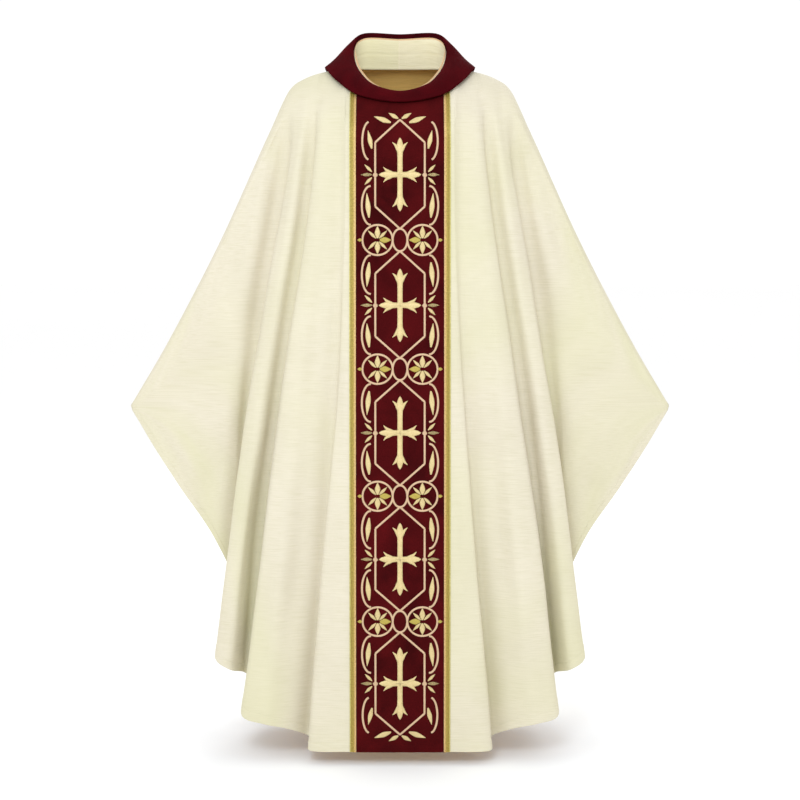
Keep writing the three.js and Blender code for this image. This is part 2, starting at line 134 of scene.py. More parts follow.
# Creases and soft dents of each panel. Each one runs through three points (x, z), with its
# width and its depth: below 0 is a trough and above 0 a ridge.
FRONT_CREASES = (
    ((-228, -120), (-262, -205), (-300, -300), 24, -5),
    ((-285, -290), (-318, -318), (-350, -330), 17, -6.5),
    ((-300, -345), (-330, -375), (-352, -400), 18, -5),
    ((-250, -180), (-300, -330), (-385, -470), 34, 5),
    ((-262, -430), (-310, -520), (-395, -590), 30, -4.5),
    ((-300, -620), (-350, -650), (-430, -640), 34, 4),
    ((-320, -700), (-352, -760), (-372, -800), 24, -4),
    ((-415, -560), (-425, -610), (-440, -660), 22, -3),
    ((-224, -90), (-228, -170), (-238, -260), 15, -4),
    ((-170, -60), (-182, -120), (-196, -200), 16, -3.5),
    ((-112, -60), (-124, -120), (-132, -190), 15, -2.5),
    ((-140, -330), (-150, -450), (-158, -560), 14, -3),
    ((-160, -700), (-176, -860), (-190, -1010), 20, -5),
    ((-205, -860), (-220, -960), (-232, -1080), 18, 4),
    ((-110, -820), (-120, -960), (-126, -1120), 16, -3.5),
    ((-104, -420), (-108, -560), (-110, -700), 13, -2.5),
    ((-226, -420), (-238, -520), (-248, -620), 12, -3),
    ((-258, -700), (-270, -840), (-290, -980), 16, -4),
    ((-205, -380), (-196, -300), (-188, -240), 12, 2.5),
    ((228, -110), (250, -190), (282, -290), 22, -6),
    ((262, -250), (300, -330), (352, -390), 20, -6),
    ((300, -300), (322, -340), (336, -370), 14, -5),
    ((270, -340), (330, -450), (400, -520), 30, 5),
    ((280, -480), (330, -560), (410, -600), 28, -5),
    ((310, -640), (372, -668), (440, -640), 30, 4),
    ((330, -720), (356, -770), (390, -770), 22, -3.5),
    ((420, -540), (436, -600), (452, -650), 20, -3),
    ((172, -50), (186, -120), (204, -220), 15, -4),
    ((114, -50), (122, -130), (128, -210), 15, -2.5),
    ((130, -300), (146, -420), (160, -540), 15, -3.5),
    ((152, -640), (170, -800), (186, -960), 20, -5),
    ((196, -780), (214, -920), (226, -1060), 18, 4),
    ((112, -760), (124, -900), (134, -1080), 16, -3.5),
    ((106, -350), (110, -480), (112, -620), 13, -2.5),
    ((222, -380), (236, -500), (250, -620), 12, -3),
    ((262, -680), (278, -820), (294, -960), 16, -4.5),
)
BACK_CREASES = (
    ((-10, -60), (-16, -240), (-30, -420), 40, -4),
    ((40, -300), (46, -520), (38, -760), 34, -5),
    ((-48, -520), (-56, -760), (-50, -1010), 30, -5),
    ((16, -800), (20, -980), (30, -1180), 26, 4),
    ((-60, -90), (-76, -170), (-92, -280), 22, -3.5),
    ((62, -90), (74, -180), (86, -300), 22, -3.5),
    ((-170, -70), (-190, -160), (-204, -260), 16, -4),
    ((174, -70), (186, -140), (196, -230), 16, -3.5),
    ((-240, -170), (-290, -300), (-360, -430), 30, -5.5),
    ((-270, -420), (-330, -520), (-420, -580), 28, 4.5),
    ((-310, -600), (-350, -690), (-370, -780), 24, -4),
    ((236, -150), (280, -280), (352, -410), 28, -5.5),
    ((262, -400), (322, -500), (410, -570), 28, 4.5),
    ((300, -580), (346, -660), (400, -700), 24, -4),
    ((-150, -460), (-164, -640), (-182, -820), 16, -3.5),
    ((146, -420), (160, -600), (176, -790), 16, -3.5),
    ((-112, -760), (-122, -900), (-134, -1080), 16, -3),
    ((118, -700), (128, -860), (140, -1040), 16, -3),
)

# A crease is followed in steps, reaches a few widths out, and tapers towards both ends
CREASE_STEPS = 70
CREASE_REACH = 3
CREASE_TAPER = {"from": 0.06, "span": 0.88, "power": 0.8}

# Small swells of the cloth: the length and size of each kind, how many there are of a kind, and
# how far they turn from upright
SWELLS = ((310, 1.6), (190, 1.1), (120, 0.7), (74, 0.4))
SWELLS_OF_A_KIND = 3
SWELL_TURN = 0.5

# How folds and creases fade: below the seam, beside the band, above the hem and at the tips. The
# main folds start and end at shares of the way down.
SEAM_FADE = (4, 70)
BAND_FADE = (BAND_HALF + 1, BAND_HALF + 22)
HEM_FADE = {"least": 0.45, "over": 60}
TIP_FADE = 26
FOLD_START = (0.02, 0.16)
FOLD_END = {"span": (0.7, 1), "loss": 0.4}

# The turned hem is thicker below its sewn line, and the seam along the arm is pulled in
HEM_LINE = {"height": 15.4, "full": 14.2, "thick": 0.5, "dip": 0.35, "width": 0.7}
SEAM_DIP = {"deep": 0.9, "width": 3.2}

# Rings of the neck, from the centre back round one side to the centre front: where the collar
# turns over, the free edge of its fall, how far the neckband stands above the fold, and the
# crown of the fall
NECK_RINGS = (
    ((0, 76, 71), (0, 113, -8), -9, 8),
    ((68, 69, 71), (84, 99, -9), -9, 12),
    ((82, 38, 49), (131, 48, -8), -3, 24),
    ((81, 0, 17), (139, -6, 1), 1.5, 13),
    ((68.5, -43, -13), (119, -64, -25), 1.5, 12),
    ((43, -75, -39), (78, -104, -56), 1.5, 14),
    ((0, -89, -53), (0, -125, -71), 1.5, 9),
)
NECKBAND_SEAT = {"up": 0.6, "inward": 1.3}
NECKBAND_TURNING = 3
RING_CUTS = 16
COLLAR_LEG = {"long": 14, "share": 0.4, "cuts": 4}
COLLAR_GAP = 1.9
COLLAR_ROLL = {"out": 9, "up": 7}
COLLAR_CROWN = 0.45
FALL_CUTS = 26

# Section of the neckband: how far it puffs out, its sewn lines as (place, width, height), how it
# thins towards its rim as (places, shares), and the share of its outer side
NECKBAND_CUTS = 24
NECKBAND_PUFF = 0.3
NECKBAND_LINES = ((0.5, 0.02, -0.7), (0.04, 0.035, 0.9))
NECKBAND_RIM = ((0.82, 0.94, 0.985, 1), (1, 0.55, 0.4, 0.15))
NECKBAND_OUTER = 0.95

# Relief of the braid: its cords as (place across, width, size), and the ribs between them
BRAID_CORDS = ((0.08, 0.07, 1), (0.92, 0.07, 1), (0.46, 0.05, 0.7))
BRAID_RIBS = {"pitch": 4.2, "slant": 1.15, "period": 0.46}
BRAID_RELIEF = {"room": 0.6, "cord": 0.42, "rib": 0.2}

# Crosses down the band, and the half cell between a cross and the middle of the knot next to it
CROSS_HEIGHTS = (-203, -435, -662, -888, -1112)
HALF_CELL = 117

# Heights of threads and of filled shapes. A stroke is cut in steps, and a thin one rises less.
THREAD = 1.3
PATCH = 1.9
STITCH_STEP = 1.7
STITCH_SLANT = 0.35
THINNEST_HALF = 0.3
FULL_HEIGHT_HALF = 2.2
LEAST_RISE = 0.35

# Strokes of the embroidery, built from straight lines, arcs and pointed leaves. Each point is
# (x, y, half width). In a half cell x is measured from the centre line and y from the middle of
# the knot towards the cross.
LEAF_OUTLINE = ((0, 0.3), (0.22, 0.75), (0.45, 1), (0.75, 0.6), (1, 0.08))
ARC_STEPS = 10


def leaf(x0, y0, x1, y1, half):
    """A pointed leaf on a straight line, widest just before its middle."""
    return tuple((x0 + (x1 - x0) * t, y0 + (y1 - y0) * t, half * share) for t, share in LEAF_OUTLINE)


def arc(x, y, wide, high, first, last, half=2):
    """Part of an ellipse round (x, y), between two angles in degrees."""
    turns = np.radians(np.linspace(first, last, ARC_STEPS + 1))
    return tuple((x + wide * np.cos(turn), y + high * np.sin(turn), half) for turn in turns)


FRAME_HALF = 44
FRAME_STROKES = (
    ((0, 20, 2), (FRAME_HALF / 2, 40, 2), (FRAME_HALF, 60, 2)),
    ((FRAME_HALF, 60, 2), (FRAME_HALF, 88, 2), (FRAME_HALF, HALF_CELL, 2)),
)
KNOT_STROKES = (arc(40, 0, 27, 27, 0, 180), arc(0, 0, 13, 20, 0, 90))
KNOT_LEAVES = (leaf(40, 3, 40, 25, 5.5), leaf(43, 3, 57, 17, 3), leaf(37, 3, 23, 17, 3))
KNOT_BUDS = (leaf(68, 0, 76, 0, 3.5), leaf(36, 0, 16, 0, 6))
SCROLL_STROKE = arc(52, 62, 16, 35, -90, 90)
SIDE_LEAVES = (leaf(55, 40, 59, 84, 5), leaf(50, 117, 70, 117, 3.5), leaf(50, 112, 63, 99, 3))
BEAD_HALF = 5
BEAD = leaf(FRAME_HALF, -BEAD_HALF, FRAME_HALF, BEAD_HALF, BEAD_HALF)

# Leaves and scroll at each end of the band, with y measured from the cross outwards
END_SCROLL = arc(54, 60, 13, 34, -80, 80)
END_LEAVES = (leaf(3, 99, 20, 109, 4), leaf(16, 92, 46, 103, 5), leaf(50, 46, 57, 78, 4.5))
BOTTOM_SCALE = 0.955

# Arm of a cross, as (place along it, half width): its start is measured from the middle and the
# rest from the tip. Its barb is (place out from the arm, place from the tip, half width).
CROSS_MIDDLE = (-7, 5.2)
CROSS_ARM = ((-30, 5.2), (-20, 6.2), (-13, 6.5), (-8, 4.9), (-3.4, 3.2), (0, 0.5))
CROSS_BARB = ((1.5, -30, 1.2), (4.4, -20, 3.2), (7.8, -13.6, 2.6), (13.4, -8, 0.5))
CROSS_REACH = (65, 37.5)


def between(levels, values, t):
    """Smooth value between named levels, with slopes that never overshoot."""
    levels = np.asarray(levels, float)
    values = np.asarray(values, float)
    t = np.asarray(t, float)
    grade = np.diff(values) / np.diff(levels)
    slope = np.concatenate([grade[:1], np.zeros(len(grade) - 1), grade[-1:]])
    product = grade[:-1] * grade[1:]
    total = np.where(product > 0, grade[:-1] + grade[1:], 1)
    slope[1:-1] = np.where(product > 0, 2 * product / total, 0)
    k = np.clip(np.searchsorted(levels, t) - 1, 0, len(levels) - 2)
    step = levels[k + 1] - levels[k]
    s = (t - levels[k]) / step
    rest = 1 - s
    return (values[k] * (1 + 2 * s) * rest**2 + slope[k] * step * s * rest**2
            + values[k + 1] * s**2 * (3 - 2 * s) - slope[k + 1] * step * s**2 * rest)


def through(points, gap, share, closed=False):
    """Places on the centripetal curve through points: in gap number gap, at share of it. points is
    (..., count, axes), and gap and share are lists of equal length."""
    count = points.shape[-2]
    gap = np.asarray(gap)
    s = np.asarray(share, float)[:, None]

    def at(k):
        if closed:
            return points[..., k % count, :]
        inside = points[..., np.clip(k, 0, count - 1), :]
        first = 2 * points[..., :1, :] - points[..., 1:2, :]
        last = 2 * points[..., -1:, :] - points[..., -2:-1, :]
        low = (k < 0)[:, None]
        high = (k > count - 1)[:, None]
        return np.where(low, first, np.where(high, last, inside))

    p0, p1, p2, p3 = (at(gap + k) for k in (-1, 0, 1, 2))

    def span(a, b):
        return np.sqrt(np.linalg.norm((b - a)[..., :3], axis=-1, keepdims=True)) + 1e-9

    d0, d1, d2 = span(p0, p1), span(p1, p2), span(p2, p3)
    t1 = ((p1 - p0) / d0 - (p2 - p0) / (d0 + d1) + (p2 - p1) / d1) * d1
    t2 = ((p2 - p1) / d1 - (p3 - p1) / (d1 + d2) + (p3 - p2) / d2) * d1
    return (p1 + t1 * s + (-3 * p1 + 3 * p2 - 2 * t1 - t2) * s**2
            + (2 * p1 - 2 * p2 + t1 + t2) * s**3)


def start_of(x, side):
    """Points of the seam, or of the neck base, that fold lines start from."""
    x = np.asarray(x, float)
    beyond = np.maximum(x, NECK_SIDE["x"])
    y = between(TOP_LINE["x"], TOP_LINE["y"], beyond) + side * SEAM_GAP / 2
    z = between(TOP_LINE["x"], TOP_LINE["z"], beyond)
    end = NECK_FRONT if side < 0 else NECK_BACK
    near = np.clip(x / NECK_SIDE["x"], 0, 1)
    share = (1 - near ** end["round"]) ** (1 / end["round"])
    inside = x < NECK_SIDE["x"]
    y = np.where(inside, end["y"] * share, y)
    z = np.where(inside, NECK_SIDE["z"] + (end["z"] - NECK_SIDE["z"]) * share, z)
    return np.stack([x, y, z], axis=-1)


def on_neckline(points):
    """Points of the neck base on the lines from the middle of the neck through other points."""
    out = []
    for p in points:
        end = NECK_FRONT if p[1] < 0 else NECK_BACK
        power = end["round"]
        reach = (abs(p[0]) / NECK_SIDE["x"]) ** power + (p[1] / end["y"]) ** power
        scale = reach ** (-1 / power)
        share = p[1] * scale / end["y"]
        out.append((p[0] * scale, p[1] * scale, NECK_SIDE["z"] + (end["z"] - NECK_SIDE["z"]) * share))
    return np.array(out)


def fold_line(line, side):
    """Points down one fold line: round the shoulder, down, and across the turned hem."""
    xs, ys, hem, turn, soft = line
    start = start_of(xs[0], side)
    length = start[2] - hem
    turned_up = min(HEM_ROWS[0], 0.5 * (length - turn))
    angle = np.linspace(0, math.pi / 2, ROUND_STEPS + 1)
    upper = turn * (1 - np.cos(angle))
    middle = np.linspace(turn, length - turned_up, MAIN_STEPS + 1)[1:]
    lower = length - np.array(HEM_ROWS[1:]) * turned_up / HEM_ROWS[0]
    drop = np.concatenate([upper, middle, lower])
    t = drop / length
    inward = np.maximum(1 - drop / turn, 0)
    share = (1 - inward**soft) ** (1 / soft)
    depth = between(LEVELS, ys, t)
    return np.stack([between(LEVELS, xs, t), start[1] + (depth - start[1]) * share, start[2] - drop], axis=-1)


def panel_grid(lines, side):
    """Outer points of a panel, [row, column, axis], from one tip to the other, and the column of
    each fold line of its right half."""
    half = np.stack([fold_line(line, side) for line in lines], axis=1)
    mirrored = half[:, :0:-1] * (-1, 1, 1)
    whole = np.concatenate([mirrored, half], axis=1)
    widest = np.linalg.norm(np.diff(whole, axis=1), axis=-1).max(axis=0)
    cuts = np.maximum(np.ceil(widest / COLUMN_WIDTH), 2).astype(int)
    gap = np.concatenate([np.full(n, k) for k, n in enumerate(cuts)] + [[len(cuts) - 1]])
    share = np.concatenate([np.arange(n) / n for n in cuts] + [[1.0]])
    grid = through(whole, gap, share)
    seat = start_of(np.minimum(np.abs(grid[0, :, 0]), TOP_LINE["x"][-1]), side)
    grid[0, :, 1:] = seat[:, 1:]
    columns = np.concatenate([[0], np.cumsum(cuts)])[len(lines) - 1:]
    return grid, columns


def grid_normals(grid, side):
    along = np.empty_like(grid)
    along[1:-1] = grid[2:] - grid[:-2]
    along[0], along[-1] = grid[1] - grid[0], grid[-1] - grid[-2]
    across = np.empty_like(grid)
    across[:, 1:-1] = grid[:, 2:] - grid[:, :-2]
    across[:, 0], across[:, -1] = grid[:, 1] - grid[:, 0], grid[:, -1] - grid[:, -2]
    normal = np.cross(across, along) * side
    normal[0, np.abs(grid[0, :, 0]) >= NECK_SIDE["x"], 1] = 0
    return normal / np.maximum(np.linalg.norm(normal, axis=-1, keepdims=True), 1e-9)


def smooth_step(low, high, value):
    s = np.clip((value - low) / (high - low), 0, 1)
    return s * s * (3 - 2 * s)


def crease_field(grid, creases):
    """How far each point moves along its normal for the creases of a table."""
    x, z = grid[..., 0].ravel(), grid[..., 2].ravel()
    moved = np.zeros_like(x)
    s = np.linspace(0, 1, CREASE_STEPS)
    for start, bend, end, width, depth in creases:
        a, b, c = (np.array(p, float) for p in (start, bend, end))
        control = 2 * b - (a + c) / 2
        line = ((1 - s)**2)[:, None] * a + (2 * s * (1 - s))[:, None] * control + (s**2)[:, None] * c
        low = line.min(axis=0) - CREASE_REACH * width
        high = line.max(axis=0) + CREASE_REACH * width
        near = np.nonzero((x > low[0]) & (x < high[0]) & (z > low[1]) & (z < high[1]))[0]
        away = (x[near, None] - line[:, 0])**2 + (z[near, None] - line[:, 1])**2
        closest = away.argmin(axis=1)
        square = away[np.arange(len(near)), closest]
        place = CREASE_TAPER["from"] + CREASE_TAPER["span"] * s[closest]
        taper = np.sin(np.pi * place) ** CREASE_TAPER["power"]
        moved[near] += depth * taper * np.exp(-square / width**2)
    return moved.reshape(grid.shape[:2])


def soft_waves(grid, seed):
    """Small uneven swells of hand-hung cloth."""
    random = np.random.default_rng(seed)
    x, z = grid[..., 0], grid[..., 2]
    swell = np.zeros_like(x)
    for length, size in SWELLS:
        for _ in range(SWELLS_OF_A_KIND):
            angle = random.uniform(-SWELL_TURN, SWELL_TURN)
            phase = random.uniform(0, 2 * np.pi)
            place = x * math.cos(angle) + z * math.sin(angle)
            swell += size / SWELLS_OF_A_KIND * np.sin(2 * np.pi * place / length + phase)
    return swell


def fold_field(grid, columns, folds):
    """How far each point moves to draw the main folds tighter: valleys in and crests out."""
    across = length_along(grid, 1)
    below = (grid[:1, :, 2] - grid[..., 2]) / (grid[:1, :, 2] - grid[-1:, :, 2])
    along = smooth_step(*FOLD_START, below) * (1 - FOLD_END["loss"] * smooth_step(*FOLD_END["span"], below))
    moved = np.zeros(grid.shape[:2])
    for line, width, right, left in folds:
        for column, depth in ((columns[line], right), (grid.shape[1] - 1 - columns[line], left)):
            away = across - across[:, [column]]
            moved += depth * np.exp(-(away / width)**2)
    return moved * along


def dressed(lines, side, folds, creases, seed):
    """The panel's points with its folds, creases, swells, turned hem and pulled-in seam."""
    grid, columns = panel_grid(lines, side)
    normals = grid_normals(grid, side)
    below = grid[:1, :, 2] - grid[..., 2]
    above = grid[..., 2] - grid[-1:, :, 2]
    out = np.abs(grid[..., 0])
    clear_of_seam = smooth_step(*SEAM_FADE, below)
    clear_of_band = smooth_step(*BAND_FADE, out) if side < 0 else 1
    quiet_hem = HEM_FADE["least"] + (1 - HEM_FADE["least"]) * smooth_step(0, HEM_FADE["over"], above)
    tip = smooth_step(0, TIP_FADE, TOP_LINE["x"][-1] - out)
    move = (crease_field(grid, creases) + soft_waves(grid, seed)) * clear_of_seam * quiet_hem
    move = (move + fold_field(grid, columns, folds)) * clear_of_band * tip
    hem = HEM_LINE["thick"] * smooth_step(HEM_LINE["height"], HEM_LINE["full"], above)
    hem -= HEM_LINE["dip"] * np.exp(-((above - HEM_LINE["height"]) / HEM_LINE["width"])**2)
    move += hem * clear_of_band
    along_seam = out >= NECK_SIDE["x"]
    move -= along_seam * SEAM_DIP["deep"] * np.exp(-(below / SEAM_DIP["width"])**2)
    return grid + normals * move[..., None]


def length_along(points, axis):
    step = np.linalg.norm(np.diff(points, axis=axis), axis=-1)
    zero = np.zeros_like(np.take(step, [0], axis=axis))
    return np.concatenate([zero, np.cumsum(step, axis=axis)], axis=axis)


def cloth_uv(grid):
    """Threads of a panel, in metres: across from its centre, and level below the shoulders."""
    across = length_along(grid, 1)
    across -= across[:, [grid.shape[1] // 2]]
    down = length_along(grid, 0)
    level = np.stack([np.interp(-STRAIGHT_WEFT, -z, d) for z, d in zip(grid[..., 2].T, down.T)])
    down = np.where(grid[..., 2] < STRAIGHT_WEFT, grid[..., 2], STRAIGHT_WEFT + level - down)
    return np.stack([across, down], axis=-1) * MM


def make_object(name, points, faces, uv, materials, nodes=(), inner=None):
    """A mesh piece in metres. uv is one value a point, and inner marks faces of the second material."""
    mesh = bpy.data.meshes.new(name)
    points = np.asarray(points, np.float32).reshape(-1, 3) * MM
    faces = np.asarray(faces, np.int32)
    mesh.vertices.add(len(points))
    mesh.vertices.foreach_set("co", points.ravel())
    mesh.loops.add(faces.size)
    mesh.loops.foreach_set("vertex_index", faces.ravel())
    mesh.polygons.add(len(faces))
    mesh.polygons.foreach_set("loop_start", np.arange(0, faces.size, faces.shape[1], dtype=np.int32))
    mesh.polygons.foreach_set("use_smooth", np.ones(len(faces), bool))
    layer = mesh.uv_layers.new(name="UVMap")
    layer.data.foreach_set("uv", np.asarray(uv, np.float32).reshape(-1, 2)[faces.ravel()].ravel())
    for material in materials:
        mesh.materials.append(material)
    if inner is not None:
        mesh.polygons.foreach_set("material_index", np.asarray(inner, np.int32))
    mesh.update(calc_edges=True)
    mesh.validate()
    obj = bpy.data.objects.new(name, mesh)
    bpy.context.scene.collection.objects.link(obj)
    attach(obj, "root")
    if nodes:
        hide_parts(*nodes)
    return obj


def quads(rows, columns, offset=0, flip=False):
    """Faces of a grid of points."""
    r = np.arange(rows - 1)[:, None]
    c = np.arange(columns - 1)[None]
    down = r + 1
    faces = np.stack([r * columns + c, down * columns + c, down * columns + c + 1, r * columns + c + 1], -1)
    faces = faces.reshape(-1, 4) + offset
    return faces[:, ::-1] if flip else faces


def shell(name, outer, inner, uv, materials, nodes, flip=False):
    """A closed wall between an outer and an inner grid."""
    rows, columns = outer.shape[:2]
    size = rows * columns
    front = quads(rows, columns, flip=flip)
    back = quads(rows, columns, size, flip=not flip)
    border = np.concatenate([
        np.arange(columns - 1),
        np.arange(rows - 1) * columns + columns - 1,
        (rows - 1) * columns + np.arange(columns - 1, 0, -1),
        np.arange(rows - 1, 0, -1) * columns,
    ])
    after = np.roll(border, -1)
    rim = np.stack([border, after, after + size, border + size], -1)
    if flip:
        rim = rim[:, ::-1]
    faces = np.concatenate([front, back, rim])
    marks = np.concatenate([np.zeros(len(front)), np.full(len(back), len(materials) - 1), np.zeros(len(rim))])
    points = np.concatenate([outer.reshape(-1, 3), inner.reshape(-1, 3)])
    both = np.concatenate([uv.reshape(-1, 2)] * 2)
    return make_object(name, points, faces, both, materials, nodes, marks)


def tube(name, sections, uv, materials, nodes):
    """A closed ring through closed sections, [section, point, axis]."""
    count, size = sections.shape[:2]
    s = np.arange(count)[:, None]
    k = np.arange(size)[None]
    after, beside = (s + 1) % count, (k + 1) % size
    faces = np.stack([s * size + k, after * size + k, after * size + beside, s * size + beside], -1)
    faces = np.broadcast_to(faces, (count, size, 4)).reshape(-1, 4)[:, ::-1]
    return make_object(name, sections, faces, uv, materials, nodes)


def refine(grid, rows, columns):
    """The same surface with each cell cut into rows by columns."""
    r = np.linspace(0, grid.shape[0] - 1, (grid.shape[0] - 1) * rows + 1)
    c = np.linspace(0, grid.shape[1] - 1, (grid.shape[1] - 1) * columns + 1)
    r0 = np.minimum(r.astype(int), grid.shape[0] - 2)
    c0 = np.minimum(c.astype(int), grid.shape[1] - 2)
    rs, cs = (r - r0)[:, None, None], (c - c0)[None, :, None]
    upper = grid[r0][:, c0] * (1 - cs) + grid[r0][:, c0 + 1] * cs
    lower = grid[r0 + 1][:, c0] * (1 - cs) + grid[r0 + 1][:, c0 + 1] * cs
    return upper * (1 - rs) + lower * rs


class Nodes:
    """Short calls for building one material's node tree."""

    def __init__(self, name, **values):
        self.material = bpy.data.materials.new(name)
        self.material.use_nodes = True
        self.tree = self.material.node_tree
        self.shader = self.tree.nodes["Principled BSDF"]
        for key, value in values.items():
            socket = key.replace("_", " ").title().replace("Ior", "IOR")
            self.shader.inputs[socket].default_value = value
        self.uv = self.add("ShaderNodeUVMap").outputs["UV"]

    def add(self, kind, inputs=(), **settings):
        node = self.tree.nodes.new(kind)
        for key, value in settings.items():
            setattr(node, key, value)
        for key, value in dict(inputs).items():
            if isinstance(value, bpy.types.NodeSocket):
                self.tree.links.new(value, node.inputs[key])
            else:
                node.inputs[key].default_value = value
        return node

    def noise(self, scale, detail=2.0, rough=0.5, distortion=0.0):
        """Noise of a scale for each axis, in cycles a metre."""
        stretched = self.add("ShaderNodeMapping", {"Vector": self.uv, "Scale": scale})
        inputs = {"Vector": stretched.outputs[0], "Scale": 1.0, "Detail": detail, "Roughness": rough,
                  "Distortion": distortion}
        return self.add("ShaderNodeTexNoise", inputs).outputs[0]

    def ramp(self, factor, stops):
        node = self.add("ShaderNodeValToRGB", {"Fac": factor})
        while len(node.color_ramp.elements) < len(stops):
            node.color_ramp.elements.new(0.5)
        for element, (place, colour) in zip(node.color_ramp.elements, stops):
            element.position = place
            element.color = (*colour, 1)
        return node.outputs["Color"]

    def mix(self, factor, a, b, blend="MIX"):
        node = self.add("ShaderNodeMix", data_type="RGBA", blend_type=blend)
        for key, value in ((0, factor), (6, a), (7, b)):
            if isinstance(value, bpy.types.NodeSocket):
                self.tree.links.new(value, node.inputs[key])
            elif isinstance(value, tuple):
                node.inputs[key].default_value = (*value, 1)
            else:
                node.inputs[key].default_value = value
        return node.outputs[2]

    def math(self, operation, a, b=0.0):
        return self.add("ShaderNodeMath", {0: a, 1: b}, operation=operation).outputs[0]

    def bump(self, height, strength, distance):
        normal = self.add("ShaderNodeBump", {"Height": height, "Strength": strength, "Distance": distance})
        self.tree.links.new(normal.outputs[0], self.shader.inputs["Normal"])

    def colour(self, socket):
        self.tree.links.new(socket, self.shader.inputs["Base Color"])


def linear(red, green, blue):
    """Linear colour of an sRGB colour with values to 255."""
    shares = (red / 255, green / 255, blue / 255)
    return tuple(v / 12.92 if v <= 0.04045 else ((v + 0.055) / 1.055) ** 2.4 for v in shares)


def slub_cloth(name, light, deep, green, edge=None):
    """Woven wool with uneven weft threads, fine warp and a soft drift of tone; edge tints its rim."""
    n = Nodes(name, roughness=0.86, sheen_weight=0.12, sheen_roughness=0.5, specular_ior_level=0.25)
    weft = n.noise((24, 520, 1), detail=3, rough=0.62)
    thread = n.noise((90, 1500, 1), detail=1)
    warp = n.noise((1300, 60, 1), detail=1)
    drift = n.noise((3.1, 2.3, 1), detail=2, distortion=0.6)
    patch = n.noise((11, 7, 1), detail=2)
    tone = n.ramp(weft, ((0.3, deep), (0.52, light), (0.72, tuple(min(v * 1.05, 1) for v in light))))
    tint = n.mix(n.math("MULTIPLY", n.ramp(drift, ((0.38, (0, 0, 0)), (0.66, (1, 1, 1)))), 0.55), tone, green)
    soft = n.ramp(patch, ((0.3, (0.955, 0.955, 0.94)), (0.7, (1, 1, 1))))
    cloth = n.mix(1.0, tint, soft, "MULTIPLY")
    if edge is not None:
        down = n.add("ShaderNodeSeparateXYZ", {"Vector": n.uv}).outputs[1]
        rim = n.ramp(n.math("MULTIPLY", down, 100), ((0.2, (1, 1, 1)), (0.32, (0, 0, 0))))
        cloth = n.mix(rim, cloth, edge)
    n.colour(cloth)
    fine = n.math("MULTIPLY", n.math("ADD", thread, warp), 0.5)
    n.bump(n.math("ADD", n.math("MULTIPLY", weft, 0.9), fine), 0.5, 0.0006)
    return n.material


def velvet(name, dark, light, pile, drift_scale):
    """Short cut pile: dark, with brushed lighter patches and a soft edge sheen."""
    n = Nodes(name, roughness=0.85, sheen_weight=0.1, sheen_roughness=0.4, specular_ior_level=0.03)
    n.shader.inputs["Sheen Tint"].default_value = (*pile, 1)
    brushed = n.noise(drift_scale, detail=3, rough=0.6, distortion=0.8)
    nap = n.noise((700, 420, 1), detail=2)
    tone = n.ramp(brushed, ((0.32, dark), (0.7, light)))
    speck = n.ramp(nap, ((0.3, (0.7, 0.7, 0.7)), (0.7, (1.12, 1.12, 1.12))))
    n.colour(n.mix(1.0, tone, speck, "MULTIPLY"))
    n.bump(nap, 0.5, 0.0007)
    return n.material


def braid(name):
    """Metal braid, peach gold beside the velvet, olive gold beyond, and a pale outer edge."""
    n = Nodes(name, roughness=0.42, metallic=0.35, specular_ior_level=0.5)
    place = n.add("ShaderNodeSeparateXYZ", {"Vector": n.uv}).outputs[0]
    stops = ((0.0, linear(214, 178, 124)), (0.22, linear(206, 170, 108)), (0.34, linear(168, 144, 66)),
             (0.8, linear(152, 132, 56)), (0.93, linear(204, 194, 118)))
    tone = n.ramp(place, stops)
    flecks = n.ramp(n.noise((5, 420, 1), detail=2), ((0.32, (0.66, 0.64, 0.58)), (0.62, (1.1, 1.1, 1.06))))
    n.colour(n.mix(1.0, tone, flecks, "MULTIPLY"))
    threads = n.noise((14, 2600, 1), detail=1)
    n.bump(threads, 0.5, 0.0004)
    return n.material


def stitched(name, tone, shade, metal=0.15, rough=0.42):
    """Satin stitch: glossy threads side by side across each stroke."""
    n = Nodes(name, roughness=rough, metallic=metal, specular_ior_level=0.5, sheen_weight=0.1)
    stitches = n.noise((50, 2300, 1), detail=1)
    patch = n.ramp(n.noise((40, 34, 1), detail=2), ((0.3, (0.86, 0.84, 0.78)), (0.65, (1.04, 1.04, 1.02))))
    lay = n.ramp(stitches, ((0.32, shade), (0.6, tone)))
    n.colour(n.mix(1.0, lay, patch, "MULTIPLY"))
    n.bump(stitches, 0.6, 0.0005)
    return n.material


def floor_material():
    n = Nodes("floor_white", roughness=0.9, specular_ior_level=0.1)
    grain = n.noise((3, 3, 3), detail=2)
    n.colour(n.ramp(grain, ((0.3, (0.955, 0.955, 0.955)), (0.7, (0.97, 0.97, 0.97)))))
    return n.material


CREAM = slub_cloth("cream_slub", linear(215, 206, 185), linear(208, 199, 173), linear(207, 203, 163))
# The inner faces of the panels get painted shade: a darker golden tan that stands in for the warm shadow
# inside the garment
INSIDE_PAINTED_SHADE = slub_cloth("inside_painted_shade", linear(224, 182, 106), linear(206, 164, 90), linear(214, 180, 100))
NECK_CREAM = slub_cloth("neckband_cream", linear(234, 223, 192), linear(221, 209, 170), linear(222, 216, 170),
                        edge=linear(212, 174, 130))
BAND_VELVET = velvet("band_velvet", linear(54, 7, 9), linear(83, 13, 16), linear(190, 30, 40), (9, 7, 1))
COLLAR_VELVET = velvet("collar_velvet", linear(50, 3, 7), linear(74, 5, 12), linear(210, 24, 40), (12, 12, 1))
BRAID = braid("gold_braid")
GOLD = stitched("gold_stitch", linear(226, 206, 152), linear(188, 162, 104))
THREAD_CREAM = stitched("cream_stitch", linear(216, 186, 152), linear(182, 145, 110), metal=0.05, rough=0.5)
YELLOW = stitched("yellow_stitch", linear(196, 178, 78), linear(154, 130, 44))

